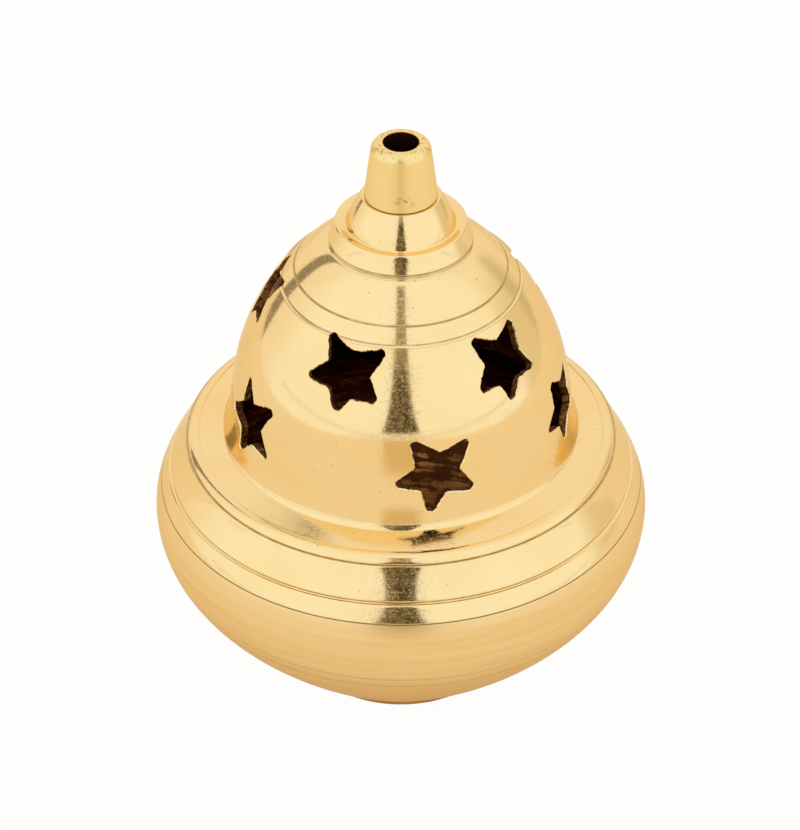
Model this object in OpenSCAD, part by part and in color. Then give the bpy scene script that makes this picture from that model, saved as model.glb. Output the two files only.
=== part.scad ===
// Round brass incense burner: a footed bowl, a lift-off star-pierced lid with a hollow nozzle,
// and a loose burner dish inside. Millimetres, +Z up, origin under the middle of the foot.

/* [Bowl] */
// Widest radius of the bowl
belly_r = 38.7; // [36.5:0.1:42]
// Height of the widest ring above the table
belly_z = 29.5; // [26:0.5:32]
// Radius of the bowl at its mouth
mouth_r = 33.7; // [32.5:0.1:35]
// Height of the bowl's mouth, where the lid's brim rests
mouth_z = 42.2; // [41:0.1:48]
// Thickness of the bowl's wall and floor
bowl_wall = 1.2; // [0.9:0.1:1.8]
// Width of the flat rim at the mouth
rim_w = 1.3; // [1:0.1:1.9]
// Lean of the shoulder at the mouth, in degrees below level
shoulder_dip = 67.5; // [62:0.5:80]
// Slope of the underside at the foot, in degrees
base_slope = 40; // [34:1:46]
// Height of the brazed joint between the shoulder and the lower shell
joint_z = 34.2; // [32.5:0.1:36]
// Height of the turned groove on the shoulder
groove_z = 37.1; // [36.5:0.1:40]
// Width of the turned groove
groove_w = 0.6; // [0.3:0.1:1]
// Depth of the turned groove
groove_d = 0.35; // [0.2:0.05:0.6]

/* [Foot] */
// Outer radius of the foot ring
foot_r = 16.2; // [14:0.1:18]
// Width of the foot ring
foot_w = 3.4; // [2:0.1:5]
// Height of the foot ring
foot_h = 0.9; // [0.6:0.1:2]

/* [Lid] */
// Width of the rounded lip that edges the lid's brim
lip_w = 1.8; // [1.2:0.1:2.2]
// Height of the lip above the bowl's mouth
lip_h = 1.3; // [1:0.1:1.5]
// Radius of the dome's flared foot, where the brim begins
brim_r = 27.8; // [27.2:0.1:28.5]
// Height of the brim above the bowl's mouth, at the dome's foot
brim_h = 2.2; // [2.1:0.1:3]
// Slope of the brim, in degrees below level
brim_fall = 15.5; // [12:0.5:16]
// Radius of the dome above its flared foot
dome_r = 26.5; // [25:0.1:26.9]
// Height of the flared foot
cove_h = 5.6; // [4:0.1:7]
// Height of the dome from its flared foot to its ledge
dome_h = 21.8; // [19:0.1:24]
// Radius of the dome at its ledge
ledge_r = 18.6; // [17.5:0.1:20]
// Width of the narrow ledge round the dome
ledge_w = 0.5; // [0.3:0.1:0.8]
// Height of the narrow ledge
ledge_h = 0.2; // [0.1:0.05:0.4]
// Height of the dome above the ledge
crown_h = 6.75; // [6:0.25:9]
// Thickness of the dome's wall
dome_wall = 1.3; // [1:0.1:1.8]
// Radius of the scribed circle on the crown
scribe_r = 16.3; // [14.5:0.1:17]
// Depth of the scribed circle
scribe_d = 0.15; // [0.1:0.05:0.3]
// Height of the register ring under the brim
register_h = 3; // [2:0.1:4]
// Thickness of the register ring
register_t = 1.2; // [0.8:0.1:1.6]
// Gap between the register ring and the bowl's mouth
lid_gap = 0.3; // [0.2:0.05:0.5]

/* [Stars] */
// Stars in each row
star_count = 5; // [4:1:6]
// Radius of a star over its tips
star_r = 6.3; // [5:0.1:7]
// Radius of a star at its valleys
valley_r = 3.6; // [2.5:0.1:4.2]
// Width of a star's blunt tips
tip_w = 0.8; // [0.4:0.1:1.2]
// Turn of each star, in degrees
star_turn = -28; // [-36:1:36]
// Height of the upper row's centres above the mouth
upper_row = 25.4; // [23:0.1:26.5]
// Height of the lower row's centres above the mouth
lower_row = 11.2; // [10.7:0.1:13]
// Direction of the upper row's first star, in degrees from the front
upper_first = -23; // [-40:1:0]
// Direction of the lower row's first star, in degrees from the front
lower_first = 12; // [0:1:40]

/* [Collar] */
// Radius of the flange
flange_r = 10.1; // [9.5:0.1:11.5]
// Height of the flange
flange_h = 3.65; // [2.5:0.05:5]
// Depth of the dished ring on top of the flange
dish_d = 0.4; // [0.3:0.1:1]
// Rounding of the flange's rim
rim_edge = 0.4; // [0.2:0.05:0.6]
// Flare of the flange towards its foot, as a radius gained
flare_w = 0.9; // [0.3:0.05:1.2]
// Height of the turned notch under the flange
notch_h = 0.95; // [0.6:0.05:1.3]
// Depth of that notch
notch_d = 0.4; // [0.2:0.05:0.6]
// Radius of the drum at its foot
drum_r = 8.3; // [7.6:0.1:8.8]
// Radius of the drum's flat top
drum_top_r = 6; // [5.9:0.1:6.9]
// Height of the drum above the flange
drum_h = 4.6; // [3.5:0.1:6]

/* [Nozzle] */
// Radius of the smoke bore
bore_r = 2.7; // [2:0.1:3]
// Radius of the nozzle at its foot
nozzle_foot_r = 5.6; // [5.2:0.1:5.8]
// Radius of the nozzle below its rounded top
nozzle_tip_r = 4.6; // [4.2:0.1:5]
// Height of the nozzle above the collar
nozzle_h = 9.3; // [7:0.1:12]
// Height of the rounded top edge
nozzle_edge = 1.4; // [1:0.1:2.5]
// Width of the flat land round the bore
land_w = 0.6; // [0.3:0.1:0.9]
// Outer radius of the spigot that passes through the collar
spigot_r = 4; // [3.8:0.1:4.4]
// Length of the spigot inside the dome
tail_h = 3.4; // [2.6:0.1:5]
// Gap between the spigot and what it passes through
fit_gap = 0.05; // [0.03:0.01:0.1]
// Width across the flats of the nut inside the dome
nut_af = 12; // [11:0.5:14]
// Thickness of that nut
nut_t = 2.4; // [1.8:0.1:2.6]

/* [Burner dish] */
// Radius of the dish at its rim
dish_r = 17; // [14:0.5:20]
// Height of the dish's side
dish_h = 3.4; // [2:0.1:5]
// Thickness of the dish
dish_t = 1; // [0.8:0.1:1.4]
// Radius of the dish's standing ring
stand_r = 10.5; // [8.5:0.5:12]
// Height of the standing ring under the dish
stand_h = 1.8; // [1.4:0.1:2.5]
// Radius of the cone holder
holder_r = 5.5; // [4.5:0.1:7]
// Height of the cone holder
holder_h = 5.6; // [5:0.1:8]
// Depth of the cone's seat
seat_d = 0.8; // [0.5:0.1:1.2]
// Width of the wall round the seat
seat_wall = 1; // [0.7:0.1:1.4]
// Radius of the stick hole
stick_r = 1.3; // [1:0.1:1.5]
// Depth of the stick hole below the seat
stick_d = 4.3; // [3:0.1:4.5]
// Radius of the holder's shank
shank_r = 2.2; // [2:0.1:2.6]
// Radius of the washer under the dish
washer_r = 4; // [3.2:0.1:5]
// Thickness of that washer
washer_t = 0.8; // [0.5:0.1:1]

/* [Hidden] */
$fn = 96;

// Steps along each drawn curve
steps = 12;
// Share of the flared foot that the lid's inner side follows
skirt_t = 0.8;
// Degrees by which each sawn star stands off its even place round the dome
upper_wander = [0, -5, -4, -2, 0, 0];
lower_wander = [0, -11, -10, -9, -3, 0];
// Clear depth that a star's cut runs past the dome's wall on each side
star_past = 2;
// Height of the shank's peened end below the washer
peen_h = 0.4;
// Dip of each section curve at its two ends, in degrees below level
crown_dip = [30, 52];
dome_dip = [57, 84];
cove_dip = 50;
lip_dip = [5, 88];
drum_dip = [54, 71];
flare_dip = [71, 66];
// Reach of each curve's two ends, as a share of its height or its width
shoulder_reach = [0.37, 0.41];
lower_reach = [0.31, 0.69];
crown_reach = [0.4, 0.38];
dome_reach = [0.5, 0.36];
cove_reach = [0.61, 0.09];
lip_reach = [0.72, 0.35];
drum_reach = [0.3, 0.4];
flare_reach = [0.35, 0.35];
edge_reach = 0.6;
// Width of the narrow step between the foot ring and the bowl's underside
step_w = 0.3;
// Distance that the lip stands in from the bowl's mouth
lip_inset = 0.3;
// Distance that the collar's base stands out from its flared foot
base_step = 0.15;

// Levels that pieces share
floor_z = foot_h + bowl_wall;
brim_z = mouth_z + brim_h;
lip_z = mouth_z + lip_h;
cove_z = brim_z + cove_h;
ledge_z = cove_z + dome_h;
crown_z = ledge_z + ledge_h + crown_h;
flange_z = crown_z + flange_h;
collar_z = flange_z + drum_h;
nozzle_z = collar_z + nozzle_h;
dish_z = floor_z + stand_h;
seat_z = dish_z + dish_t + holder_h - seat_d;

// Radii that pieces share
base_r = foot_r + step_w;
lip_r = mouth_r - lip_inset;
lip_in = lip_r - lip_w;
flare_r = flange_r + flare_w;
crown_r = flare_r + base_step;
land_r = bore_r + land_w;
hole_r = spigot_r + fit_gap;
register_r = mouth_r - rim_w - lid_gap;

// A unit step in the section plane, dip degrees below level
function heading(dip) = [cos(dip), -sin(dip)];
// A cubic curve from p to q that leaves at one dip and arrives at another
function curve(p, dip_p, reach_p, q, dip_q, reach_q) =
    [p, p + reach_p * heading(dip_p), q - reach_q * heading(dip_q), q];
// The point at t along a curve
function at(c, t) = pow(1 - t, 3) * c[0] + 3 * pow(1 - t, 2) * t * c[1]
    + 3 * (1 - t) * t * t * c[2] + pow(t, 3) * c[3];
// The direction at t along a curve
function slope(c, t) = pow(1 - t, 2) * (c[1] - c[0]) + 2 * (1 - t) * t * (c[2] - c[1])
    + t * t * (c[3] - c[2]);
// The point w inside the curve at t, measured square to it
function inside(c, t, w) = let (d = slope(c, t)) at(c, t) + w * [d.y, -d.x] / norm(d);
// Where a falling curve, taken w inside, passes level z
function t_at(c, z, w = 0, lo = 0, hi = 1, n = 24) = let (m = (lo + hi) / 2)
    n == 0 ? m : inside(c, m, w).y > z ? t_at(c, z, w, m, hi, n - 1) : t_at(c, z, w, lo, m, n - 1);
// Where a curve that widens as it falls reaches radius r
function t_out(c, r, lo = 0, hi = 1, n = 24) = let (m = (lo + hi) / 2)
    n == 0 ? m : at(c, m).x < r ? t_out(c, r, m, hi, n - 1) : t_out(c, r, lo, m, n - 1);
// Points w inside a curve, from t0 to t1 in either direction
function run(c, t0 = 0, t1 = 1, w = 0) = [for (i = [0:steps]) inside(c, t0 + (t1 - t0) * i / steps, w)];

// Section curves, each running outwards and down
shoulder_rise = mouth_z - belly_z;
lower_rise = belly_z - foot_h;
crown_w = ledge_r - ledge_w - crown_r;
shoulder_curve = curve([mouth_r, mouth_z], shoulder_dip, shoulder_reach[0] * shoulder_rise,
                       [belly_r, belly_z], 90, shoulder_reach[1] * shoulder_rise);
lower_curve = curve([belly_r, belly_z], 90, lower_reach[0] * lower_rise,
                    [base_r, foot_h], 180 - base_slope, lower_reach[1] * lower_rise);
crown_curve = curve([crown_r, crown_z], crown_dip[0], crown_reach[0] * crown_w,
                    [ledge_r - ledge_w, ledge_z + ledge_h], crown_dip[1], crown_reach[1] * crown_w);
dome_curve = curve([ledge_r, ledge_z], dome_dip[0], dome_reach[0] * dome_h,
                   [dome_r, cove_z], dome_dip[1], dome_reach[1] * dome_h);
cove_curve = curve([dome_r, cove_z], dome_dip[1], cove_reach[0] * cove_h,
                   [brim_r, brim_z], cove_dip, cove_reach[1] * cove_h);
lip_curve = curve([lip_in, lip_z], lip_dip[0], lip_reach[0] * lip_w,
                  [lip_r, mouth_z], lip_dip[1], lip_reach[1] * lip_h);

// Where the brazed joint cuts the outside and the inside of the shoulder
joint_t = t_at(shoulder_curve, joint_z);
joint_in_t = t_at(shoulder_curve, joint_z, bowl_wall);

// Section of a turned V groove of width w and depth d, square to a curve at t
module vee(c, t, w, d) {
    along = slope(c, t) / norm(slope(c, t));
    deep = inside(c, t, d);
    shallow = inside(c, t, -d);
    polygon([shallow + w * along, deep, shallow - w * along]);
}

// Lower shell of the bowl, with its flat floor
module bowl_lower() {
    outer = concat(run(shoulder_curve, joint_t, 1), run(lower_curve));
    inner = concat(run(lower_curve, t_at(lower_curve, floor_z, bowl_wall), 0, bowl_wall),
                   run(shoulder_curve, 1, joint_in_t, bowl_wall));
    color("goldenrod") rotate_extrude()
        polygon(concat(outer, [[0, foot_h], [0, floor_z]], inner));
}

// Upper shell of the bowl, from the joint to the flat rim, with its turned groove
module bowl_shoulder() {
    outer = run(shoulder_curve, 0, joint_t);
    inner = run(shoulder_curve, joint_in_t, 0, bowl_wall);
    color("gold") difference() {
        rotate_extrude() polygon(concat(outer, inner, [[mouth_r - rim_w, mouth_z]]));
        rotate_extrude() vee(shoulder_curve, t_at(shoulder_curve, groove_z), groove_w, groove_d);
    }
}

// Ring that the bowl stands on
module foot_ring() {
    color("darkgoldenrod") difference() {
        cylinder(r = foot_r, h = foot_h);
        translate([0, 0, -1]) cylinder(r = foot_r - foot_w, h = foot_h + 2);
    }
}

// One five-pointed outline with blunt tips
module star() {
    blunt = asin(tip_w / 2 / star_r);
    polygon([for (i = [0:4]) let (a = star_turn + 72 * i)
        each [star_r * [sin(a - blunt), cos(a - blunt)], star_r * [sin(a + blunt), cos(a + blunt)],
              valley_r * [sin(a + 36), cos(a + 36)]]]);
}

// One row of star cuts, square to the dome at height z
module star_row(z, first, wander) {
    t = t_at(dome_curve, z);
    p = at(dome_curve, t);
    d = slope(dome_curve, t);
    for (i = [0:star_count - 1])
        rotate([0, 0, first + i * 360 / star_count + wander[i]]) translate([0, -p.x, p.y])
            rotate([atan2(-d.y, d.x), 0, 0]) translate([0, 0, -dome_wall - star_past])
                linear_extrude(dome_wall + 2 * star_past) star();
}

// Domed lid with its sloping brim and rounded lip, open below, bored at the crown and pierced with two rows of stars
module lid_dome() {
    brim_low = [lip_in, brim_z - (lip_in - brim_r) * tan(brim_fall)];
    outer = concat(run(crown_curve), run(dome_curve), run(cove_curve), [brim_low], run(lip_curve));
    inner = concat(run(cove_curve, skirt_t, 0, dome_wall), run(dome_curve, 1, 0, dome_wall),
                   run(crown_curve, 1, t_at(crown_curve, crown_z - dome_wall, dome_wall), dome_wall));
    color("goldenrod") difference() {
        rotate_extrude() polygon(concat(outer, [[brim_r - dome_wall, mouth_z]], inner,
                                        [[hole_r, crown_z - dome_wall], [hole_r, crown_z]]));
        star_row(mouth_z + upper_row, upper_first, upper_wander);
        star_row(mouth_z + lower_row, lower_first, lower_wander);
        rotate_extrude() vee(crown_curve, t_out(crown_curve, scribe_r), 2 * scribe_d, scribe_d);
    }
}

// Ring under the brim that drops into the mouth of the bowl
module lid_register() {
    lead = register_t / 3;
    color("darkgoldenrod") rotate_extrude() polygon([
        [register_r - register_t, mouth_z], [register_r, mouth_z],
        [register_r, mouth_z - register_h + lead], [register_r - lead, mouth_z - register_h],
        [register_r - register_t, mouth_z - register_h]]);
}

// Flange and rounded drum that carry the nozzle, with a turned notch round the foot
module finial_collar() {
    notch_z = crown_z + notch_h;
    flare_h = flange_z - rim_edge - notch_z;
    drum = curve([drum_top_r, collar_z], drum_dip[0], drum_reach[0] * drum_h,
                 [drum_r, flange_z - dish_d / 2], drum_dip[1], drum_reach[1] * drum_h);
    hollow = curve([drum_r, flange_z - dish_d / 2], 50, dish_d,
                   [flange_r - rim_edge, flange_z], -15, dish_d);
    rim = curve([flange_r - rim_edge, flange_z], 0, edge_reach * rim_edge,
                [flange_r, flange_z - rim_edge], flare_dip[0], edge_reach * rim_edge);
    side = curve([flange_r, flange_z - rim_edge], flare_dip[0], flare_reach[0] * flare_h,
                 [flare_r, notch_z], flare_dip[1], flare_reach[1] * flare_h);
    color("gold") rotate_extrude() polygon(concat(
        [[hole_r, crown_z], [hole_r, collar_z]], run(drum), run(hollow), run(rim), run(side),
        [[flare_r - notch_d, crown_z + notch_h / 2], [crown_r, crown_z]]));
}

// Tapered hollow nozzle with the spigot that holds the collar and the dome together
module nozzle() {
    top = curve([land_r, nozzle_z], 10, edge_reach * (nozzle_tip_r - land_r),
                [nozzle_tip_r, nozzle_z - nozzle_edge], 84, edge_reach * nozzle_edge);
    tail_z = crown_z - dome_wall - tail_h;
    color("goldenrod") rotate_extrude() polygon(concat(
        [[bore_r, tail_z], [bore_r, nozzle_z]], run(top),
        [[nozzle_foot_r, collar_z], [spigot_r, collar_z], [spigot_r, tail_z]]));
}

// Hexagon nut inside the dome, on the nozzle's spigot
module nozzle_nut() {
    color("darkgoldenrod") translate([0, 0, crown_z - dome_wall - nut_t]) difference() {
        cylinder(r = nut_af / sqrt(3), h = nut_t, $fn = 6);
        translate([0, 0, -1]) cylinder(r = hole_r, h = nut_t + 2);
    }
}

// Loose dish that stands on the bowl's floor and catches the ash
module burner_dish() {
    rise = [dish_r - stand_r, dish_h];
    thick = dish_t * [rise.y, -rise.x] / norm(rise);
    color("peru") rotate_extrude() polygon([
        [shank_r + fit_gap, dish_z], [stand_r - dish_t, dish_z], [stand_r - dish_t, floor_z],
        [stand_r, floor_z], [stand_r, dish_z + thick.y + dish_t],
        [dish_r, dish_z + dish_t + dish_h + thick.y], [dish_r, dish_z + dish_t + dish_h],
        [dish_r - thick.x, dish_z + dish_t + dish_h], [stand_r - thick.x, dish_z + dish_t],
        [shank_r + fit_gap, dish_z + dish_t]]);
}

// Turned holder on the dish, with a seat for a cone and a hole for a stick
module cone_holder() {
    foot_z = dish_z + dish_t;
    top_z = foot_z + holder_h;
    color("darkkhaki") rotate_extrude() polygon([
        [0, dish_z - washer_t - peen_h], [shank_r, dish_z - washer_t - peen_h], [shank_r, foot_z],
        [holder_r, foot_z], [holder_r, top_z], [holder_r - seat_wall, top_z],
        [holder_r - seat_wall, seat_z], [stick_r, seat_z], [stick_r, seat_z - stick_d],
        [0, seat_z - stick_d]]);
}

// Washer on the holder's shank, under the dish
module holder_washer() {
    color("darkgoldenrod") translate([0, 0, dish_z - washer_t]) difference() {
        cylinder(r = washer_r, h = washer_t);
        translate([0, 0, -1]) cylinder(r = shank_r + fit_gap, h = washer_t + 2);
    }
}

bowl_lower();
bowl_shoulder();
foot_ring();
lid_dome();
lid_register();
finial_collar();
nozzle();
nozzle_nut();
burner_dish();
cone_holder();
holder_washer();
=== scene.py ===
import math

import bpy
import numpy as np
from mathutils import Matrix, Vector
from mathutils.geometry import delaunay_2d_cdt


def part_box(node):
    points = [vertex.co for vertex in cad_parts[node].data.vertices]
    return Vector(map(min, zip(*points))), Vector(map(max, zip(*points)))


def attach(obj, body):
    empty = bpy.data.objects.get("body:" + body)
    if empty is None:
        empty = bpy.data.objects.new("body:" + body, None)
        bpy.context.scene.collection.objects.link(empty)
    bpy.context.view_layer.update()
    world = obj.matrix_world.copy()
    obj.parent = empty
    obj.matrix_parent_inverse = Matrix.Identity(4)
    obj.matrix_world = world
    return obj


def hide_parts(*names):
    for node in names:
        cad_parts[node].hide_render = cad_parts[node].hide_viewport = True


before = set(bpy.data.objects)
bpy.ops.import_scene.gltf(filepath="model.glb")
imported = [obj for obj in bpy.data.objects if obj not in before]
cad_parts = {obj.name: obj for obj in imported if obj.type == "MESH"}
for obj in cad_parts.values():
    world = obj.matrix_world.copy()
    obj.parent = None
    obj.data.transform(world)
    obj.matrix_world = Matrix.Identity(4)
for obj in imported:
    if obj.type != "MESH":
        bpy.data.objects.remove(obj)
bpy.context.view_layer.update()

# Sizes are in millimetres, in the frame of the CAD model: +Z up, -Y the front. A section is
# drawn in the plane (radius, height). A direction round the axis is counted in degrees from
# the front, positive towards +X. A dip is counted in degrees below level.
MM = 0.001


# ------------------------------------------------------------------ sizes taken from the frame

def radius_of(node):
    """Largest radius of a turned CAD node."""
    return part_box(node)[1].x / MM


def levels_of(node):
    """Lowest and highest level of a CAD node."""
    low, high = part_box(node)
    return low.z / MM, high.z / MM


belly_r = radius_of("bowl_lower")
foot_h, joint_z = levels_of("bowl_lower")
foot_r = radius_of("foot_ring")
lip_r = radius_of("lid_dome")
mouth_z, crown_z = levels_of("lid_dome")
register_r = radius_of("lid_register")
register_low = levels_of("lid_register")[0]
crown_r = radius_of("finial_collar")
collar_z = levels_of("finial_collar")[1]
nozzle_foot_r = radius_of("nozzle")
tail_z, nozzle_z = levels_of("nozzle")
nut_corner_r = radius_of("nozzle_nut")
nut_low, nut_high = levels_of("nozzle_nut")
dish_r = radius_of("burner_dish")
floor_z, dish_rim_z = levels_of("burner_dish")
holder_r = radius_of("cone_holder")
peen_z, holder_z = levels_of("cone_holder")
washer_r = radius_of("holder_washer")
washer_low, dish_z = levels_of("holder_washer")

# ------------------------------------------------------------------ sizes of the turned forms

# Bowl
belly_z = 29.5
mouth_dip = 67.5
under_dip = 140
mouth_r = lip_r + 0.3
bowl_wall = floor_z - foot_h
rim_w = 1.3
groove_z = 37.1
groove_d = 0.35
foot_w = 3.4
base_r = foot_r + 0.3
faint_lines = (22.9, 20.8)

# Lid
lip_in = lip_r - 1.8
lip_z = mouth_z + 1.3
brim_r = 27.8
brim_z = mouth_z + 2.2
brim_dip = 15.5
brim_low = brim_z - (lip_in - brim_r) * math.tan(math.radians(brim_dip))
cove_z = brim_z + 5.6
dome_r = 26.5
dome_wall = crown_z - nut_high
ledge_r = 18.6
ledge_z = 71.8
ledge_w = 0.5
ledge_h = 0.2
scribe_r = 16.3
scribe_z = 74.05
scribe_d = 0.15
register_t = 1.2
crown_dips = (30, 52)
dome_dips = (57, 84)
cove_foot_dip = 50
lip_dips = (5, 88)

# Collar and nozzle
flare_r = crown_r - 0.15
flange_r = flare_r - 0.9
flange_z = crown_z + 3.65
rim_edge = 0.4
notch_h = 0.95
notch_d = 0.4
drum_r = 8.3
drum_top_r = 6.0
hollow_d = 0.4
drum_dips = (54, 71)
flare_dips = (71, 66)
bore_r = 2.7
land_r = bore_r + 0.6
nozzle_tip_r = 4.6
nozzle_edge = 1.4
spigot_r = 4.0
fit_gap = 0.05
hole_r = spigot_r + fit_gap

# Burner dish
dish_t = 1.0
stand_r = 10.5
shank_r = 2.2
seat_wall = 1.0
seat_z = holder_z - 0.8
stick_r = 1.3
stick_d = 4.3

# Stars: the direction of each round the dome, its height above the mouth, and the reach and
# direction of each of its five tips, clockwise from straight up as seen from outside. The sawn
# outlines differ from star to star.
star_valley_r = 3.6
star_tip_w = 0.9
stars = [
    (-23, 25.4, [(6.4, -34), (6.6, 48), (5.9, 122), (5.6, 188), (6.1, 256)]),
    (46, 24.4, [(6.5, -35), (6.5, 41), (5.9, 119), (5.6, 186), (5.7, 249)]),
    (117, 25.5, [(6.4, -30), (6.3, 43), (6.2, 117), (5.8, 187), (6.2, 258)]),
    (191, 25.4, [(6.2, -26), (6.6, 46), (6.1, 114), (6.0, 190), (6.3, 261)]),
    (264, 26.2, [(6.5, -31), (6.2, 42), (6.0, 118), (6.1, 186), (5.9, 257)]),
    (12, 11.1, [(6.5, -31), (6.8, 46), (6.3, 120), (6.1, 190), (6.1, 259)]),
    (73, 11.3, [(5.9, -29), (6.2, 44), (6.0, 117), (5.8, 188), (6.0, 258)]),
    (146, 11.2, [(6.6, -27), (6.3, 45), (6.4, 116), (6.1, 191), (6.3, 260)]),
    (219, 11.2, [(6.3, -30), (6.7, 43), (6.1, 118), (6.4, 187), (6.0, 259)]),
    (297, 11.1, [(6.5, -20), (7.0, 48), (6.4, 122), (6.3, 196), (6.6, 258)]),
]

# How finely the surfaces are divided
TURN_STEPS = 360
CURVE_STEPS = 40
EDGE = 0.12
OUTLINE_STEP = 0.14
CHAMFER = 0.15
CLEARANCE = 0.12

# Nicks of the saw in the outline of each star
NICKS = 7
NICK_DEPTH = 0.13
NICK_WIDTH = 0.2


# ------------------------------------------------------------------ section curves

def heading(dip):
    """Unit step in the section plane, dip degrees below level."""
    return np.array([math.cos(math.radians(dip)), -math.sin(math.radians(dip))])


def cubic(p, dip_p, reach_p, q, dip_q, reach_q, count=CURVE_STEPS):
    """Cubic from p to q: (1-t)^3 p + 3(1-t)^2 t a + 3(1-t) t^2 b + t^3 q.

    a lies reach_p from p along its dip, and b lies reach_q back from q along its dip."""
    p, q = np.array(p, float), np.array(q, float)
    a, b = p + reach_p * heading(dip_p), q - reach_q * heading(dip_q)
    t = np.linspace(0, 1, count)[:, None]
    return (1 - t) ** 3 * p + 3 * (1 - t) ** 2 * t * a + 3 * (1 - t) * t * t * b + t ** 3 * q


def lengths(points):
    """Distance of each point along a line of points."""
    return np.concatenate([[0], np.cumsum(np.hypot(*np.diff(points, axis=0).T))])


def along(points, where):
    """Points at the given distances along a line of points."""
    s = lengths(points)
    return np.stack([np.interp(where, s, points[:, k]) for k in (0, 1)], -1)


def right_of(points):
    """Unit vectors to the right of a line of points, (t.z, -t.r) with t its unit tangent."""
    t = np.gradient(points, lengths(points), axis=0)
    t /= np.hypot(*t.T)[:, None]
    return np.stack([t[:, 1], -t[:, 0]], -1)


def inside(points, depth):
    """The line depth inside a section curve that runs outwards and down."""
    return points + depth * right_of(points)


def reach_of(points, level):
    """How far along a falling line it passes a level."""
    return np.interp(-level, -points[:, 1], lengths(points))


def part(points, start, end):
    """The stretch of a line between two distances."""
    s = lengths(points)
    within = s[(s > start + 1e-6) & (s < end - 1e-6)]
    return along(points, np.concatenate([[start], within, [end]]))


def scored(points, marks):
    """A curve with turned lines: p + depth(s) inwards, depth(s) = sum of d exp(-((s - m) / w)^2).

    Each mark is its distance m along the curve, its half width w and its depth d."""
    s = lengths(points)
    near = [m + w * np.linspace(-2.4, 2.4, 13) for m, w, d in marks]
    where = np.unique(np.round(np.clip(np.concatenate([s] + near), 0, s[-1]), 4))
    where[-1] = s[-1]
    fine = along(points, where)
    depth = sum(d * np.exp(-((where - m) / w) ** 2) for m, w, d in marks)
    return fine + depth[:, None] * right_of(fine)


def joined(*runs):
    """Runs that follow each other smoothly, as one."""
    return np.vstack([runs[0]] + [run[1:] for run in runs[1:]])


def sides(*corners):
    """The straight runs from each corner to the next."""
    return [np.array(pair, float) for pair in zip(corners, corners[1:])]


def section(runs, edge=EDGE):
    """Joins runs end to end, each corner c rounded by (1-u)^2 p + 2(1-u) u c + u^2 q.

    p and q lie an edge away from the corner. Gives the points, counter-clockwise, and each
    point's run. A section that starts and ends on the axis is left open there."""
    shut = runs[0][0][0] > 0
    rows = []
    for k, run in enumerate(runs):
        total = lengths(run)[-1]
        trim = min(edge, 0.45 * total)
        low = 0 if k == 0 and not shut else trim
        high = total if k == len(runs) - 1 and not shut else total - trim
        row = part(run, low, high)
        if high - low > 0.6:
            s = lengths(row)
            row = along(row, np.unique(np.concatenate([s, [0.15, s[-1] - 0.15]])))
        rows.append(row)
    u = np.linspace(0, 1, 5)[1:-1, None]
    points, numbers = [], []
    for k, row in enumerate(rows):
        points.append(row)
        numbers += [k] * len(row)
        if shut or k < len(rows) - 1:
            after, corner = rows[(k + 1) % len(rows)], runs[k][-1]
            points.append((1 - u) ** 2 * row[-1] + 2 * (1 - u) * u * corner + u * u * after[0])
            numbers += [k] * len(u)
    points, numbers = np.vstack(points), np.array(numbers)
    r, z = points.T
    if np.sum(r * np.roll(z, -1) - np.roll(r, -1) * z) < 0:
        points, numbers = points[::-1], numbers[::-1]
    return points, numbers


def section_normals(points, shut):
    """Outward unit normals (t.z, -t.r) of a counter-clockwise section, t the mean of its two sides."""
    step = np.diff(points, axis=0, append=points[:1])
    step /= np.hypot(*step.T)[:, None] + 1e-12
    mean = step + np.roll(step, 1, axis=0)
    if not shut:
        mean[0], mean[-1] = step[0], step[-2]
    mean /= np.hypot(*mean.T)[:, None] + 1e-12
    return np.stack([mean[:, 1], -mean[:, 0]], -1)


# ------------------------------------------------------------------ surfaces

def swung(flat, azimuth):
    """Section vectors (r, z) turned round the axis: (r sin a, -r cos a, z)."""
    a = np.radians(azimuth)
    return np.stack([flat[..., 0] * np.sin(a), -flat[..., 0] * np.cos(a), flat[..., 1] + 0 * a], -1)


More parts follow.
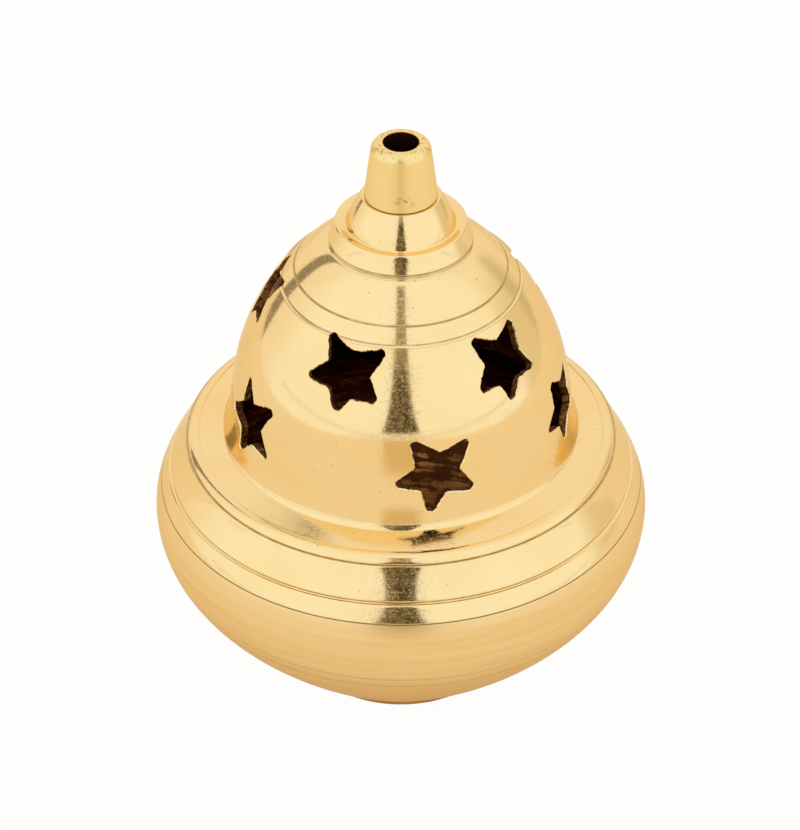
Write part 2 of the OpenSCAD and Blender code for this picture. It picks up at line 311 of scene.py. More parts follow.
class Surface:
    """A surface of revolution on a grid of section rows and equal steps round, open to changes."""

    def __init__(self, runs, finishes, edge=EDGE, steps=TURN_STEPS):
        """Lays out the grid; finishes gives each run's number among the piece's materials."""
        self.points, self.numbers = section(runs, edge)
        self.shut = self.points[0][0] > 1e-6
        self.steps, self.count = steps, len(self.points)
        azimuth = np.arange(steps) * 360.0 / steps
        flat = section_normals(self.points, self.shut)
        self.verts = swung(self.points[:, None], azimuth).reshape(-1, 3)
        self.normals = swung(flat[:, None], azimuth).reshape(-1, 3)
        self.distance = np.repeat(lengths(self.points), steps)
        rows = np.arange(self.count if self.shut else self.count - 1)
        i, j = (x.ravel() for x in np.meshgrid(rows, np.arange(steps), indexing="ij"))
        self.quads = np.stack([self.at(i, j), self.at(i, j + 1),
                               self.at(i + 1, j + 1), self.at(i + 1, j)], -1)
        self.cells = np.stack([i, j], -1)
        self.finish = np.array(finishes)[self.numbers][i]
        self.row_finish = np.array(finishes)[self.numbers]
        self.extra, self.extra_finish = [], []

    def at(self, i, j):
        """Vertex at a row and a column; a row on the axis has one vertex."""
        i = i % self.count
        on_axis = self.points[i, 0] < 1e-6
        return i * self.steps + np.where(on_axis, 0, j % self.steps)

    def add(self, verts, normals, distance):
        """Adds loose vertices and gives their numbers."""
        first = len(self.verts)
        self.verts = np.vstack([self.verts, verts])
        self.normals = np.vstack([self.normals, normals])
        self.distance = np.concatenate([self.distance, distance])
        return first + np.arange(len(verts))

    def piece(self, name, materials, body, node, slot, plain=()):
        """Faces of the finishes numbered in plain keep Blender's own smooth normals, the others get
        the normals of the turned form."""
        faces = [list(dict.fromkeys(q)) for q in self.quads.tolist()]
        keep = np.array([len(f) > 2 for f in faces])
        faces = [f for f, k in zip(faces, keep) if k]
        finish = list(self.finish[keep])
        for more, number in zip(self.extra, self.extra_finish):
            faces += more.tolist()
            finish += [number] * len(more)
        used = np.unique(np.concatenate([np.array(f) for f in faces]))
        place = np.full(len(self.verts), -1)
        place[used] = np.arange(len(used))
        mesh = bpy.data.meshes.new(name)
        mesh.from_pydata((self.verts[used] * MM).tolist(), [], [place[f].tolist() for f in faces])
        for material in materials:
            mesh.materials.append(material)
        mesh.polygons.foreach_set("material_index", np.array(finish, np.int32))
        mesh.polygons.foreach_set("use_smooth", np.ones(len(faces), bool))
        length = mesh.attributes.new("along", "FLOAT", "POINT")
        length.data.foreach_set("value", self.distance[used].astype(np.float32))
        mesh.set_sharp_from_angle(angle=math.radians(38))
        corner = np.empty(len(mesh.loops), np.int32)
        mesh.loops.foreach_get("vertex_index", corner)
        normals = self.normals[used][corner]
        sizes = np.array([len(f) for f in faces])
        normals[np.repeat(np.isin(finish, list(plain)), sizes)] = 0
        mesh.normals_split_custom_set(normals.tolist())
        piece = bpy.data.objects.new(name, mesh)
        bpy.context.scene.collection.objects.link(piece)
        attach(piece, body)
        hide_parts(node)
        return piece


# ------------------------------------------------------------------ shader nodes

class Link:
    """One output of a shader node. Arithmetic on it adds Math nodes to its tree."""

    def __init__(self, tree, socket=None):
        self.tree, self.socket = tree, socket

    def node(self, kind, settings=None, inputs=None, output=0):
        """Adds a node: its settings are set first, then the values or links of its inputs."""
        made = self.tree.nodes.new(kind)
        for name, value in (settings or {}).items():
            setattr(made, name, value)
        for name, value in (inputs or {}).items():
            if isinstance(value, Link):
                self.tree.links.new(value.socket, made.inputs[name])
            else:
                made.inputs[name].default_value = value
        return Link(self.tree, made.outputs[output])

    def math(self, operation, *values):
        """A Math node on the given values."""
        return self.node("ShaderNodeMath", {"operation": operation}, dict(enumerate(values)))

    def __add__(self, other):
        return self.math("ADD", self, other)

    def __sub__(self, other):
        return self.math("SUBTRACT", self, other)

    def __rsub__(self, other):
        return self.math("SUBTRACT", other, self)

    def __mul__(self, other):
        return self.math("MULTIPLY", self, other)

    __radd__, __rmul__ = __add__, __mul__

    def parts(self):
        """The three numbers of a vector."""
        return [self.node("ShaderNodeSeparateXYZ", inputs={0: self}, output=k) for k in range(3)]

    def ramp(self, low, high, to_low=0.0, to_high=1.0):
        """Smooth change from to_low, where this is low, to to_high, where it is high."""
        return self.node("ShaderNodeMapRange", {"interpolation_type": "SMOOTHSTEP"},
                         {0: self, 1: low, 2: high, 3: to_low, 4: to_high})

    def near(self, middle, half, soft):
        """1 where this is within half of middle, falling to 0 over soft."""
        off = self - middle
        return off.math("ABSOLUTE", off).ramp(half, half + soft, 1.0, 0.0)

    def vector(self, x, y, z):
        """A vector of three numbers."""
        return self.node("ShaderNodeCombineXYZ", inputs={0: x, 1: y, 2: z})

    def noise(self, scale, detail=3.0, rough=0.5):
        """Smooth noise at this vector, about 0 to 1 with a middle of 0.5."""
        return self.node("ShaderNodeTexNoise", {"noise_dimensions": "3D"},
                         {"Vector": self, "Scale": scale, "Detail": detail, "Roughness": rough})

    def blend(self, low, high):
        """Mix of two colours, low where this is 0 and high where it is 1."""
        return self.node("ShaderNodeMix", {"data_type": "RGBA"},
                         {0: self, 6: colour(low), 7: colour(high)}, 2)


def colour(value):
    """A colour with its alpha, or a link as it is."""
    return value if isinstance(value, Link) else (*value, 1.0)


class Finish:
    """A metal finish: the coordinates that its patterns follow, in mm, and its shader's inputs."""

    def __init__(self, name, **values):
        self.material = bpy.data.materials.new(name)
        self.material.use_nodes = True
        self.tree = self.material.node_tree
        self.shader = self.tree.nodes["Principled BSDF"]
        start = Link(self.tree)
        self.place = start.node("ShaderNodeVectorMath", {"operation": "SCALE"},
                                {0: start.node("ShaderNodeTexCoord", output=3), "Scale": 1 / MM})
        self.x, self.y, self.z = self.place.parts()
        self.along = start.node("ShaderNodeAttribute", {"attribute_name": "along"}, output=2)
        self.set(Metallic=1.0, **values)

    def set(self, **values):
        """Sets or links inputs of the shader, by name with underscores for spaces."""
        for name, value in values.items():
            socket = self.shader.inputs[name.replace("_", " ")]
            if isinstance(value, Link):
                self.tree.links.new(value.socket, socket)
            else:
                socket.default_value = colour(value) if isinstance(value, tuple) else value

    def rings(self, per_mm, drift=0.03, detail=3.0, shift=0.0):
        """Noise in rings round the axis: fast along the section, slow round it."""
        where = self.along.vector(self.x * drift + shift, self.y * drift, self.along * per_mm)
        return where.noise(1.0, detail, 0.6)

    def relief(self, height, microns):
        """Bumps of the given height, a link of about 0 to 1, times a depth."""
        self.set(Normal=height.node("ShaderNodeBump", inputs={"Height": height, "Distance": microns * 1e-6}))


# ------------------------------------------------------------------ finishes

EDGE_TINT = (0.94, 0.85, 0.68)
SOIL = (0.20, 0.095, 0.025)


def polished_brass():
    """Lathe-polished brass: fine turned rings, frosted grains, haze, specks, and dark lines at the joint,
    groove, ledge, scribed line, crown and mouth.
    """
    finish = Finish("polished_brass_turned", Specular_Tint=EDGE_TINT)
    fine = finish.rings(2.6)
    broad = finish.rings(0.55, 0.02, 2.0, 7.0)
    grain = finish.place.noise(3.5, 3.0, 0.6)
    haze = finish.place.noise(0.11, 3.0, 0.55)
    wander = finish.place.noise(0.45, 2.0, 0.5)
    specks = finish.place.noise(1.7, 2.0, 0.5).ramp(0.74, 0.765)
    frost = (finish.place.noise(3.0, 2.0, 0.6) + 0.35 * fine).ramp(0.66, 0.8)
    tint = haze.ramp(0.35, 0.7).blend((0.985, 0.775, 0.405), (0.975, 0.745, 0.365))
    marks = specks * 0.55
    for level, half, soft, depth in ((joint_z, 0.05, 0.08, 0.85), (groove_z + 0.12, 0.06, 0.1, 0.8),
                                     (ledge_z + 0.17, 0.03, 0.05, 0.55), (ledge_z - 0.1, 0.02, 0.04, 0.35),
                                     (scribe_z, 0.04, 0.06, 0.6), (crown_z + 0.45, 0.2, 0.2, 0.45),
                                     (mouth_z + 0.02, 0.03, 0.06, 0.5)):
        line = finish.z.near(level, half, soft) * wander.ramp(0.25, 0.6, 0.6 * depth, depth)
        marks = marks.math("MAXIMUM", marks, line)
    finish.set(Base_Color=marks.blend(tint, SOIL),
               Roughness=0.065 + 0.03 * haze.ramp(0.35, 0.75) + 0.03 * fine + 0.11 * frost + 0.3 * marks)
    finish.relief(0.5 * fine + 0.25 * broad + 0.12 * grain, 4.0)
    return finish.material


def turned_brass():
    """Brass as the lathe left it, unpolished, with a few bruises low on its front."""
    finish = Finish("turned_brass_dull", Specular_Tint=EDGE_TINT)
    grain = finish.place.noise(4.0, 3.0, 0.65)
    low = (finish.z.near(collar_z + 2.0, 0.2, 0.9) * finish.x.near(0.6, 0.6, 1.6)
           * finish.y.ramp(-4.0, -3.5, 1.0, 0.0))
    bruise = finish.place.noise(1.1, 2.0, 0.5).ramp(0.5, 0.6) * low
    top = finish.z.ramp(nozzle_z - 1.3, nozzle_z - 0.5) * finish.place.noise(1.6, 3.0, 0.6).ramp(0.56, 0.66)
    seat = finish.z.near(collar_z + 0.03, 0.06, 0.1) * 0.8
    marks = seat.math("MAXIMUM", seat, (bruise * 0.5).math("MAXIMUM", bruise * 0.5, top * 0.55))
    finish.set(Base_Color=marks.blend((0.985, 0.78, 0.36), SOIL), Roughness=0.27 + 0.1 * grain + 0.2 * marks)
    finish.relief(0.5 * finish.rings(3.2) + 0.5 * grain - 1.5 * marks, 7.0)
    return finish.material


def satin_brass():
    """Satin brass, brushed round the axis, a little warmer than the polished metal."""
    finish = Finish("satin_brass_brushed", Specular_Tint=EDGE_TINT)
    brushed = finish.rings(5.5, 0.05, 4.0, 3.0)
    broad = finish.rings(0.8, 0.02, 3.0, 9.0)
    # Painted shade: the colour turns darker and warmer towards the underside, standing in for the shadowed
    # floor that the bowl reflects there
    under = finish.z.ramp(foot_h, belly_z - 10.0, 1.0, 0.0)
    tint = (under * 0.6).blend((0.975, 0.76, 0.40), (0.93, 0.66, 0.29))
    marks = finish.z.near(joint_z, 0.05, 0.08) * 0.8
    for level in faint_lines:
        marks = marks.math("MAXIMUM", marks, finish.z.near(level, 0.03, 0.09) * 0.45)
    finish.set(Base_Color=marks.blend(broad.ramp(0.35, 0.75).blend(tint, (0.93, 0.68, 0.31)), SOIL),
               Roughness=0.24 + 0.06 * brushed + 0.05 * broad)
    finish.relief(0.8 * brushed + 0.4 * broad, 6.0)
    return finish.material


def foot_brass():
    """Brass of the foot ring, darker where it has worn and tarnished."""
    finish = Finish("foot_brass_worn")
    wear = finish.place.noise(0.5, 4.0, 0.6)
    finish.set(Base_Color=wear.blend((0.62, 0.33, 0.09), (0.80, 0.50, 0.17)),
               Roughness=0.36 + 0.15 * wear)
    finish.relief(finish.rings(4.0), 5.0)
    return finish.material


def smoked_brass():
    """The dark inner side, stained by smoke, brown with glints of bare metal."""
    finish = Finish("smoked_brass")
    soot = finish.place.noise(0.22, 4.0, 0.6)
    ridges = finish.rings(1.4, 0.05, 4.0, 5.0)
    streak = (ridges * soot.ramp(0.3, 0.7, 1.3, 0.7)).ramp(0.5, 0.68)
    finish.set(Base_Color=streak.blend((0.27, 0.10, 0.03), (0.92, 0.45, 0.13)),
               Roughness=0.34 - 0.1 * streak)
    finish.relief(0.8 * ridges + 0.3 * finish.place.noise(1.6, 3.0, 0.6), 22.0)
    return finish.material


def sawn_brass():
    """The rough wall of a sawn cut, brown in its low places."""
    finish = Finish("sawn_brass")
    bite = finish.place.noise(2.2, 4.0, 0.65)
    finish.set(Base_Color=bite.ramp(0.4, 0.66).blend((0.20, 0.08, 0.025), (0.66, 0.37, 0.13)),
               Roughness=0.34 + 0.2 * bite)
    finish.relief(bite, 90.0)
    return finish.material


def aged_brass():
    """Dull brass of the pieces inside, darkened by smoke and ash."""
    finish = Finish("aged_brass_dull")
    soot = finish.place.noise(0.35, 4.0, 0.6)
    finish.set(Base_Color=soot.ramp(0.3, 0.7).blend((0.42, 0.23, 0.09), (0.20, 0.105, 0.045)),
               Roughness=0.38 + 0.25 * soot)
    finish.relief(0.7 * finish.rings(2.5) + 0.5 * finish.place.noise(2.5, 3.0, 0.6), 15.0)
    return finish.material


POLISHED = polished_brass()
TURNED = turned_brass()
SATIN = satin_brass()
FOOT = foot_brass()
SMOKED = smoked_brass()
SAWN = sawn_brass()
AGED = aged_brass()


# ------------------------------------------------------------------ bowl

shoulder = cubic([mouth_r, mouth_z], mouth_dip, 0.37 * (mouth_z - belly_z),
                 [belly_r, belly_z], 90, 0.41 * (mouth_z - belly_z))
lower = cubic([belly_r, belly_z], 90, 0.31 * (belly_z - foot_h),
              [base_r, foot_h], under_dip, 0.69 * (belly_z - foot_h), 70)
joint_out = part(shoulder, reach_of(shoulder, joint_z), lengths(shoulder)[-1])
above_joint = part(shoulder, 0, reach_of(shoulder, joint_z))
shoulder_in = inside(shoulder, bowl_wall)
lower_in = inside(lower, bowl_wall)


def lower_bowl():
    """The lower shell: belly, underside and floor, with two faint turned lines."""
    belly = joined(joint_out, lower)
    marks = [(reach_of(belly, z), 0.16, 0.03) for z in faint_lines]
    inner = joined(part(shoulder_in, reach_of(shoulder_in, joint_z), lengths(shoulder_in)[-1]), lower_in)
    inner = part(inner, 0, reach_of(inner, floor_z))[::-1]
    runs = [*sides([0, floor_z], inner[0]), inner, *sides(inner[-1], belly[0]), scored(belly, marks),
            *sides(belly[-1], [0, foot_h])]
    Surface(runs, [1, 1, 0, 0, 0]).piece("lower_bowl", [SATIN, SMOKED], "bowl", "bowl_lower", "satin_brass")


def upper_bowl():
    """The upper shell, from the joint to the flat rim, with its turned groove."""
    outer = scored(above_joint, [(reach_of(above_joint, groove_z), 0.24, groove_d)])
    inner = part(shoulder_in, 0, reach_of(shoulder_in, joint_z))[::-1]
    rim_in = [mouth_r - rim_w, mouth_z]
    runs = [outer, *sides(outer[-1], inner[0]), inner, *sides(inner[-1], rim_in, outer[0])]
    Surface(runs, [0, 0, 1, 1, 0]).piece("upper_bowl", [POLISHED, SMOKED], "bowl", "bowl_shoulder",
                                         "polished_brass")


def foot():
    """The ring that the bowl stands on."""
    inner_r = foot_r - foot_w
    runs = sides([foot_r, foot_h], [foot_r, 0], [inner_r, 0], [inner_r, foot_h], [foot_r, foot_h])
    Surface(runs, [0] * 4).piece("foot", [FOOT], "bowl", "foot_ring", "satin_brass")


# ------------------------------------------------------------------ lid

def closed_wave(count, length, shortest, longest, random):
    """Random wave round a closed line: sum over n of cos(2 pi n s / length + phase) / n, of unit spread."""
    n = np.arange(max(1, round(length / longest)), round(length / shortest))[:, None]
    s = np.arange(count) / count
    wave = np.sum(np.cos(2 * np.pi * (n * s + random.random(n.shape))) * random.normal(size=n.shape) / n, 0)
    return wave / wave.std()


def outward(outline):
    """Unit vectors out of a closed clockwise outline."""
    t = np.roll(outline, -1, axis=0) - np.roll(outline, 1, axis=0)
    t /= np.hypot(*t.T)[:, None]
    return np.stack([-t[:, 1], t[:, 0]], -1)


def star_outline(tips, random):
    """A sawn star, clockwise, x right and y up: blunt tips and valleys, softened and roughened.

    The corners are joined straight, spaced evenly, smoothed over a short stretch and moved in and
    out by random waves and a few nicks."""
    corners = []
    for (reach, turn), (_, after) in zip(tips, tips[1:] + [(0, tips[0][1] + 360)]):
        blunt = math.degrees(math.asin(star_tip_w / 2 / reach))
        valley = star_valley_r * (1 + 0.03 * random.normal())
        corners += [(reach + 0.1, turn - blunt), (reach + 0.1, turn + blunt), (valley, (turn + after) / 2)]
    reach, turn = np.array(corners + corners[:1]).T
    loop = reach[:, None] * np.stack([np.sin(np.radians(turn)), np.cos(np.radians(turn))], -1)
    length = lengths(loop)[-1]
    count = round(length / OUTLINE_STEP)
    outline = along(loop, np.arange(count) * length / count)
    for _ in range(3):
        outline = (np.roll(outline, 1, axis=0) + outline + np.roll(outline, -1, axis=0)) / 3
    rough = (0.055 * closed_wave(count, length, 1.2, 9, random)
             + 0.018 * closed_wave(count, length, 0.4, 1.2, random))
    spot = np.arange(count)[:, None] * length / count - random.random(NICKS) * length
    rough += np.sum(NICK_DEPTH * random.random(NICKS) * np.exp(-(spot / NICK_WIDTH) ** 2), -1)
    return outline + rough[:, None] * outward(outline)


class Skin:
    """The outer or inner side of the lid, where a star can be cut: its rows and their levels."""

    def __init__(self, surface, rows):
        self.surface = surface
        self.rows = rows
        points = surface.points[rows]
        order = np.argsort(points[:, 1])
        self.level, self.radius = points[order, 1], points[order, 0]
        self.reach = lengths(surface.points)
        self.order_reach = self.reach[rows][order]
        self.flat = section_normals(surface.points, True)

    def meet(self, start, axis, low, high):
        """How far along an axis lines from the start points meet the skin, by halving."""
        low, high = np.full(len(start), low), np.full(len(start), high)
        for _ in range(30):
            middle = (low + high) / 2
            x, y, z = (start + middle[:, None] * axis).T
            outside = np.hypot(x, y) > np.interp(z, self.level, self.radius)
            low, high = np.where(outside, low, middle), np.where(outside, middle, high)
        return (low + high) / 2

    def cut(self, ring):
        """Opens the skin along a ring of points: Delaunay triangles fill the patch of cells round it."""
        x, y, z = ring.T
        surface, steps = self.surface, self.surface.steps
        azimuth = np.degrees(np.arctan2(x, -y))
        azimuth = azimuth[0] + (azimuth - azimuth[0] + 180) % 360 - 180
        reach = np.interp(z, self.level, self.order_reach)
        flat = np.stack([np.interp(reach, self.reach, self.flat[:, k]) for k in (0, 1)], -1)
        flat /= np.hypot(*flat.T)[:, None]
        new = surface.add(ring, swung(flat, azimuth), reach)
        row = self.reach[self.rows]
        i0 = self.rows[np.searchsorted(row, reach.min() - 0.5) - 1]
        i1 = self.rows[np.searchsorted(row, reach.max() + 0.5)]
        j0 = math.floor((azimuth.min() - 1.5) * steps / 360)
        j1 = math.ceil((azimuth.max() + 1.5) * steps / 360)
        i, j = (g.ravel() for g in np.meshgrid(np.arange(i0, i1 + 1), np.arange(j0, j1 + 1), indexing="ij"))
        arc = math.radians(1) * np.hypot(x, y).mean()
        grid = np.stack([j * 360 / steps * arc, self.reach[i]], -1)
        outline = np.stack([azimuth * arc, reach], -1)
        far = np.ones(len(grid), bool)
        p, q = outline, np.roll(outline, -1, axis=0)
        for k in np.array_split(np.arange(len(grid)), 1 + len(grid) // 500):
            off = grid[k][:, None] - p
            close = np.hypot(off[..., 0], off[..., 1]).min(1) < CLEARANCE
            span = (p[:, 1] > grid[k][:, None, 1]) != (q[:, 1] > grid[k][:, None, 1])
            slope = (q[:, 0] - p[:, 0]) / np.where(q[:, 1] == p[:, 1], 1, q[:, 1] - p[:, 1])
            crossed = span & (grid[k][:, None, 0] < p[:, 0] + slope * (grid[k][:, None, 1] - p[:, 1]))
            far[k] = ~close & (crossed.sum(1) % 2 == 0)
        flat_points = np.vstack([grid[far], outline])
        names = np.concatenate([surface.at(i[far], j[far]), new])
        loop = list(range(len(flat_points) - len(outline), len(flat_points)))
        if np.sum(p[:, 0] * q[:, 1] - q[:, 0] * p[:, 1]) < 0:
            loop.reverse()
        found = delaunay_2d_cdt([Vector(v) for v in flat_points], [], [loop], 0, 1e-9)
        name_of = [names[ids[0]] for ids in found[3]]
        faces = [[name_of[v] for v in face] for face, inputs in zip(found[2], found[5]) if not inputs]
        surface.extra.append(np.array(faces))
        surface.extra_finish.append(self.surface.row_finish[i0])
        ci, cj = surface.cells.T
        hit = (ci >= i0) & (ci < i1) & ((cj - j0) % steps < j1 - j0)
        surface.quads, surface.cells, surface.finish = (a[~hit] for a in (surface.quads, surface.cells,
                                                                        surface.finish))
        return new


def pierce(surface, outer, inner, azimuth, level, tips, random):
    """Saws one star square to the dome: rings of its outline from the outer to the inner skin."""
    radius = np.interp(level, outer.level, outer.radius)
    slope = np.gradient(outer.radius, outer.level)[np.searchsorted(outer.level, level)]
    up = np.array([slope, 1]) / math.hypot(slope, 1)
    a = math.radians(azimuth)
    centre = swung(np.array([radius, level]), azimuth)
    rise, axis = swung(up, azimuth), swung(np.array([up[1], -up[0]]), azimuth)
    across = np.array([math.cos(a), math.sin(a), 0])
    outline = star_outline(tips, random)
    away = outward(outline)

    def lay(flat):
        return centre + flat[:, :1] * across + flat[:, 1:] * rise

    soft = sum(np.roll(away, k, axis=0) for k in range(-3, 4)) / 7
    mouth = lay(outline + CHAMFER * soft)
    rings = [outer.cut(mouth + outer.meet(mouth, axis, -8.0, 4.0)[:, None] * axis)]
    start = lay(outline)
    top = outer.meet(start, axis, -8.0, 4.0) - CHAMFER
    bottom = inner.meet(start, axis, -10.0, 3.0)
    length = len(outline) * OUTLINE_STEP
    for share in (0.0, 0.25, 0.5, 0.75):
        wander = 0.03 * closed_wave(len(outline), length, 0.5, 6, random) * (share > 0)
        ring = lay(outline + wander[:, None] * away) + (top + share * (bottom - top))[:, None] * axis
        rings.append(surface.add(ring, np.zeros_like(ring), np.zeros(len(ring))))
    rings.append(inner.cut(start + bottom[:, None] * axis))
    for k, (near, far) in enumerate(zip(rings, rings[1:])):
        surface.extra.append(np.stack([near, far, np.roll(far, -1), np.roll(near, -1)], -1))
        surface.extra_finish.append(3 if k == 0 else 2)


def lid():
    """The domed lid: crown, ledge, dome, flared foot, brim and lip, an even wall and ten sawn stars."""
    crown_w = ledge_r - ledge_w - crown_r
    crown = cubic([crown_r, crown_z], crown_dips[0], 0.4 * crown_w,
                  [ledge_r - ledge_w, ledge_z + ledge_h], crown_dips[1], 0.38 * crown_w, 28)
    dome_h, cove_h = ledge_z - cove_z, cove_z - brim_z
    dome = cubic([ledge_r, ledge_z], dome_dips[0], 0.5 * dome_h,
                 [dome_r, cove_z], dome_dips[1], 0.36 * dome_h, 48)
    cove = cubic([dome_r, cove_z], dome_dips[1], 0.61 * cove_h,
                 [brim_r, brim_z], cove_foot_dip, 0.09 * cove_h, 20)
    lip = cubic([lip_in, lip_z], lip_dips[0], 0.72 * (lip_r - lip_in),
                [lip_r, mouth_z], lip_dips[1], 0.35 * (lip_z - mouth_z), 14)
    scribe = np.interp(scribe_r, crown[:, 0], lengths(crown))
    crown_in = inside(crown, dome_wall)
    crown_in = part(crown_in, reach_of(crown_in, crown_z - dome_wall), lengths(crown_in)[-1])[::2]
    dome_in = np.vstack([inside(dome, dome_wall)[::3], inside(cove, dome_wall)[1:16:3]])
    skirt = np.linspace([brim_r - dome_wall, mouth_z], dome_in[-1], 4)[:-1]
    wall = np.vstack([skirt, dome_in[::-1], crown_in[::-1]])
    runs = [scored(crown, [(scribe, 0.13, scribe_d)]), *sides(crown[-1], dome[0]), joined(dome, cove),
            *sides(cove[-1], [lip_in, brim_low], lip[0]), lip, *sides(lip[-1], wall[0]), wall,
            *sides(wall[-1], [hole_r, crown_z - dome_wall], [hole_r, crown_z], crown[0])]
    surface = Surface(runs, [0, 0, 0, 0, 0, 0, 0, 1, 1, 0, 0], 0.08)
    rows = np.arange(surface.count)
    level = surface.points[:, 1]
    outer = Skin(surface, rows[(surface.numbers < 3) & (level > brim_z + 0.3) & (rows < surface.count - 4)])
    inner = Skin(surface, rows[(surface.numbers == 7) & (level > mouth_z + 0.3)])
    random = np.random.default_rng(11)
    for azimuth, height, tips in stars:
        pierce(surface, outer, inner, azimuth, mouth_z + height, tips, random)
    surface.piece("pierced_lid", [POLISHED, SMOKED, SAWN, POLISHED], "lid", "lid_dome",
                  "polished_brass", {2, 3})


def register():
    """The ring under the brim, with a lead at its lower edge."""
    inner_r, lead = register_r - register_t, register_t / 3
    runs = sides([inner_r, mouth_z], [register_r, mouth_z], [register_r, register_low + lead],
                 [register_r - lead, register_low], [inner_r, register_low], [inner_r, mouth_z])
    Surface(runs, [0] * 5).piece("register", [AGED], "lid", "lid_register", "aged_brass")


# ------------------------------------------------------------------ collar and nozzle

def collar():
    """The flange with its dished ring and the notch round its foot, and the rounded drum."""
    drum_h, rim_z, notch_z = collar_z - flange_z, flange_z - rim_edge, crown_z + notch_h
    drum = cubic([drum_top_r, collar_z], drum_dips[0], 0.3 * drum_h,
                 [drum_r, flange_z - hollow_d / 2], drum_dips[1], 0.4 * drum_h, 32)
    hollow = cubic(drum[-1], 50, hollow_d, [flange_r - rim_edge, flange_z], -15, hollow_d, 16)
    rim = cubic(hollow[-1], 0, 0.6 * rim_edge, [flange_r, rim_z], flare_dips[0], 0.6 * rim_edge, 10)
    side_reach = 0.35 * (rim_z - notch_z)
    side = cubic(rim[-1], flare_dips[0], side_reach, [flare_r, notch_z], flare_dips[1], side_reach, 24)
    runs = [*sides([hole_r, crown_z], [hole_r, collar_z], drum[0]), drum, hollow, joined(rim, side),
            *sides(side[-1], [flare_r - notch_d, crown_z + notch_h / 2], [crown_r, crown_z],
                   [hole_r, crown_z])]
    Surface(runs, [0] * 8, 0.08).piece("collar", [POLISHED], "lid", "finial_collar", "polished_brass")


def nozzle():
    """The tapered hollow nozzle, its rounded top, and its spigot through the collar."""
    top = cubic([land_r, nozzle_z], 10, 0.6 * (nozzle_tip_r - land_r),
                [nozzle_tip_r, nozzle_z - nozzle_edge], 84, 0.6 * nozzle_edge, 20)
    skin = joined(np.array([[bore_r, nozzle_z], top[0]]), top, np.array([top[-1], [nozzle_foot_r, collar_z]]))
    runs = [*sides([bore_r, tail_z], skin[0]), skin,
            *sides(skin[-1], [spigot_r, collar_z], [spigot_r, tail_z], [bore_r, tail_z])]
    Surface(runs, [1, 0, 0, 1, 1]).piece("nozzle_tube", [TURNED, SMOKED], "lid", "nozzle", "polished_brass")


def nut():
    """The hexagon nut: r = hole + (r0 - hole) (limit - hole) / (corner - hole), at every point of a ring.

    limit is flat / cos(a - the nearest flat), held back by a cone at each end."""
    runs = sides([hole_r, nut_low], [hole_r, nut_high], [nut_corner_r, nut_high], [nut_corner_r, nut_low],
                 [hole_r, nut_low])
    surface = Surface(runs, [0] * 4, steps=240)
    radius = np.hypot(*surface.verts[:, :2].T)
    azimuth = np.degrees(np.arctan2(surface.verts[:, 0], -surface.verts[:, 1]))
    flat = nut_corner_r * math.cos(math.radians(30))
    limit = flat / np.cos(np.radians((azimuth + 30) % 60 - 30))
    end = np.minimum(surface.verts[:, 2] - nut_low, nut_high - surface.verts[:, 2])
    limit = np.minimum(limit, flat + 0.2 + 1.7 * end)
    wide = hole_r + (radius - hole_r) * (limit - hole_r) / (nut_corner_r - hole_r)
    surface.verts[:, :2] *= (wide / radius)[:, None]
    surface.piece("nut", [AGED], "lid", "nozzle_nut", "aged_brass", {0})


# ------------------------------------------------------------------ burner dish

def dish():
    """The loose dish on its standing ring, with a flared side."""
    side = np.array([dish_r - stand_r, dish_rim_z - dish_z - dish_t])
    thick = dish_t * np.array([side[1], -side[0]]) / math.hypot(*side)
    hole = shank_r + fit_gap
    runs = sides([hole, dish_z], [stand_r - dish_t, dish_z], [stand_r - dish_t, floor_z], [stand_r, floor_z],
                 [stand_r, dish_z + thick[1] + dish_t], [dish_r, dish_rim_z + thick[1]], [dish_r, dish_rim_z],
                 [dish_r - thick[0], dish_rim_z], [stand_r - thick[0], dish_z + dish_t],
                 [hole, dish_z + dish_t], [hole, dish_z])
    Surface(runs, [0] * 10).piece("dish", [AGED], "burner", "burner_dish", "aged_brass")


def holder():
    """The turned holder: a seat for a cone, a hole for a stick, and a peened shank."""
    runs = sides([0, peen_z], [shank_r, peen_z], [shank_r, dish_z + dish_t], [holder_r, dish_z + dish_t],
                 [holder_r, holder_z], [holder_r - seat_wall, holder_z], [holder_r - seat_wall, seat_z],
                 [stick_r, seat_z], [stick_r, seat_z - stick_d], [0, seat_z - stick_d])
    Surface(runs, [0] * 9).piece("holder", [AGED], "burner", "cone_holder", "aged_brass")


def washer():
    """The washer on the holder's shank, under the dish."""
    hole = shank_r + fit_gap
    runs = sides([hole, washer_low], [hole, dish_z], [washer_r, dish_z], [washer_r, washer_low],
                 [hole, washer_low])
    Surface(runs, [0] * 4).piece("washer", [AGED], "burner", "holder_washer", "aged_brass")


for make in (lower_bowl, upper_bowl, foot, lid, register, collar, nozzle, nut, dish, holder, washer):
    make()


# ------------------------------------------------------------------ floor, light and camera

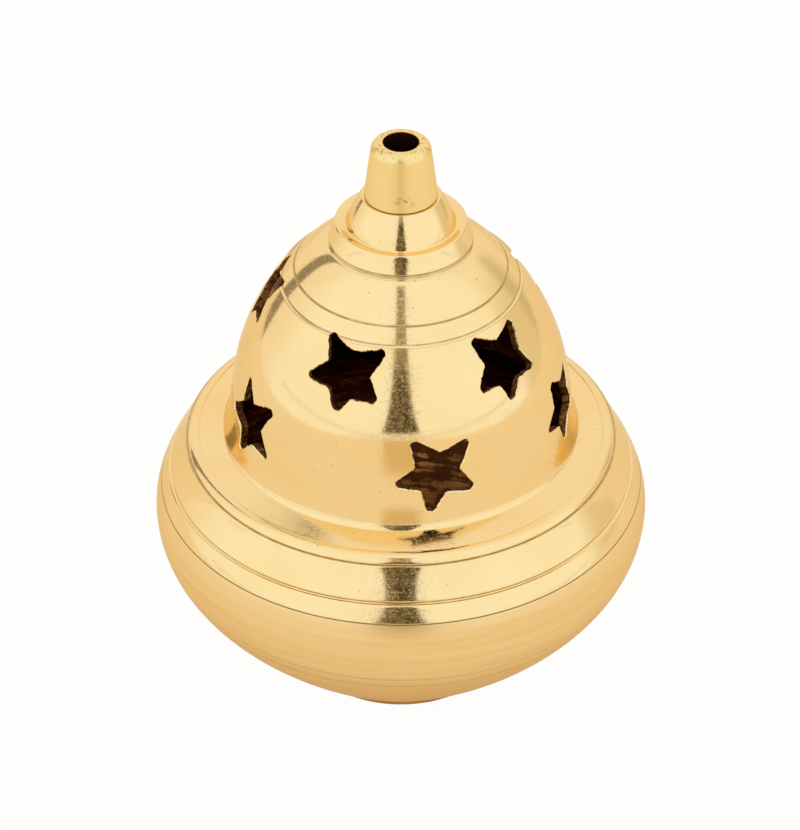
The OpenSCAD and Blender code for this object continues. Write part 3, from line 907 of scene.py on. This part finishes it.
def table():
    """A white table top under the object; it keeps the object's shadow.

    In front a brown shadow is painted on it, widening as |x| < 0.2 |y|, as if the camera kept the light off
    there."""
    mesh = bpy.data.meshes.new("table")
    side, front, back = 0.36, 1.1, 0.5
    corners = [(-side, -front, 0), (side, -front, 0), (side, back, 0), (-side, back, 0)]
    mesh.from_pydata(corners, [], [(0, 1, 2, 3)])
    top = bpy.data.objects.new("table", mesh)
    bpy.context.scene.collection.objects.link(top)
    material = bpy.data.materials.new("table_white")
    material.use_nodes = True
    tree = material.node_tree
    tree.nodes.remove(tree.nodes["Principled BSDF"])
    start = Link(tree)
    seen = start.node("ShaderNodeLightPath")
    glossy = start.node("ShaderNodeLightPath", output=3)
    share = 0.965 * seen + 0.1 * glossy
    x, y, _ = start.node("ShaderNodeTexCoord", output=3).parts()
    # Painted shadow: the mask of the brown shade painted on the floor in front
    shade = (x.math("ABSOLUTE", x) + 0.2 * y).ramp(-0.022, 0.014, 1.0, 0.0) * y.ramp(-0.2, -0.14, 1.0, 0.0)
    lit = start.node("ShaderNodeBsdfDiffuse", inputs={"Color": (0.95, 0.84, 0.67, 1)})
    # the brown colour of the painted shadow, a darker copy of the cloth
    painted_shadow_cloth = start.node("ShaderNodeBsdfDiffuse", inputs={"Color": (0.74, 0.53, 0.24, 1)})
    cloth = start.node("ShaderNodeMixShader", inputs={0: shade, 1: lit, 2: painted_shadow_cloth})
    glow = start.node("ShaderNodeEmission", inputs={"Strength": 1.0})
    both = start.node("ShaderNodeMixShader", inputs={0: share, 1: cloth, 2: glow})
    tree.links.new(both.socket, tree.nodes["Material Output"].inputs["Surface"])
    mesh.materials.append(material)


def tent():
    """White light from all round, with a dark slit in front where the camera looks in, and gaps at the sides.

    The slit's half width in |x| is 0.043 + 0.173 exp(-2.6 z); x and z are those of the direction."""
    world = bpy.data.worlds.new("tent")
    world.use_nodes = True
    bpy.context.scene.world = world
    tree = world.node_tree
    start = Link(tree)
    direction = start.node("ShaderNodeTexCoord")
    x, y, z = direction.parts()
    front = (0.0 - y).ramp(-0.02, 0.02)
    half = 0.043 + 0.173 * (z * -2.6).math("EXPONENT", z * -2.6)
    slit = (x.math("ABSOLUTE", x) - half).ramp(-0.006, 0.006, 1.0, 0.0) * front * z.ramp(-0.004, 0.004)
    slit = slit * z.ramp(0.955, 0.985, 1.0, 0.0)
    weave = direction.noise(27.0, 2.0, 0.6)
    low_cloth = weave.ramp(0.46, 0.62).blend((0.055, 0.038, 0.018), (0.34, 0.27, 0.165))
    high_cloth = weave.ramp(0.4, 0.66).blend((0.30, 0.24, 0.15), (0.46, 0.40, 0.29))
    cloth = z.ramp(0.38, 0.52).blend(low_cloth, high_cloth)
    azimuth = x.math("ARCTAN2", x, 0.0 - y) * (180 / math.pi)
    rear = y.ramp(-0.15, 0.45)
    fold = z.near(-0.036, 0.004, 0.006) * front
    left = azimuth.near(-128.5, 4.5, 1.5) * z.ramp(0.7, 0.9, 1.0, 0.0)
    upper = azimuth.near(-156.0, 3.0, 4.0) * z.near(0.85, 0.035, 0.03)
    right = azimuth.near(128.5, 2.5, 6.0) * z.ramp(0.3, 0.5, 1.0, 0.0)
    wing = azimuth.near(118.0, 14.0, 16.0) * z.ramp(0.1, 0.5, 1.0, 0.0)
    shade = rear.blend((1.0, 1.0, 1.0), (0.94, 0.86, 0.78))
    for mask, tone in ((fold * 0.5, (0.35, 0.25, 0.12)), (wing * 0.8, (0.74, 0.64, 0.46)),
                       (slit, cloth), (left * 0.8, (0.14, 0.10, 0.06)),
                       (upper * 0.7, (0.25, 0.17, 0.09)), (right * 0.18, (0.12, 0.09, 0.06))):
        shade = mask.blend(shade, tone)
    camera_ray = start.node("ShaderNodeLightPath")
    shade = camera_ray.blend(shade, (1.0, 1.0, 1.0))
    glow = start.node("ShaderNodeBackground", inputs={"Color": shade, "Strength": 1.0})
    for node in [n for n in tree.nodes if n.bl_idname == "ShaderNodeBackground" and n != glow.socket.node]:
        tree.nodes.remove(node)
    output = next(n for n in tree.nodes if n.bl_idname == "ShaderNodeOutputWorld")
    tree.links.new(glow.socket, output.inputs["Surface"])


def camera():
    """A long lens 36.6 degrees above level, aimed at the middle of the object."""
    aim, distance, tilt = Vector((-0.14, 0, 45.6)) * MM, 0.65, math.radians(36.6)
    lens = bpy.data.cameras.new("camera")
    lens.sensor_width, lens.lens = 36.0, 180.4
    view = bpy.data.objects.new("camera", lens)
    view.location = aim + distance * Vector((0, -math.cos(tilt), math.sin(tilt)))
    view.rotation_euler = (math.pi / 2 - tilt, 0, 0)
    bpy.context.scene.collection.objects.link(view)
    bpy.context.scene.camera = view


table()
tent()
camera()
bpy.context.scene.view_settings.view_transform = "Standard"
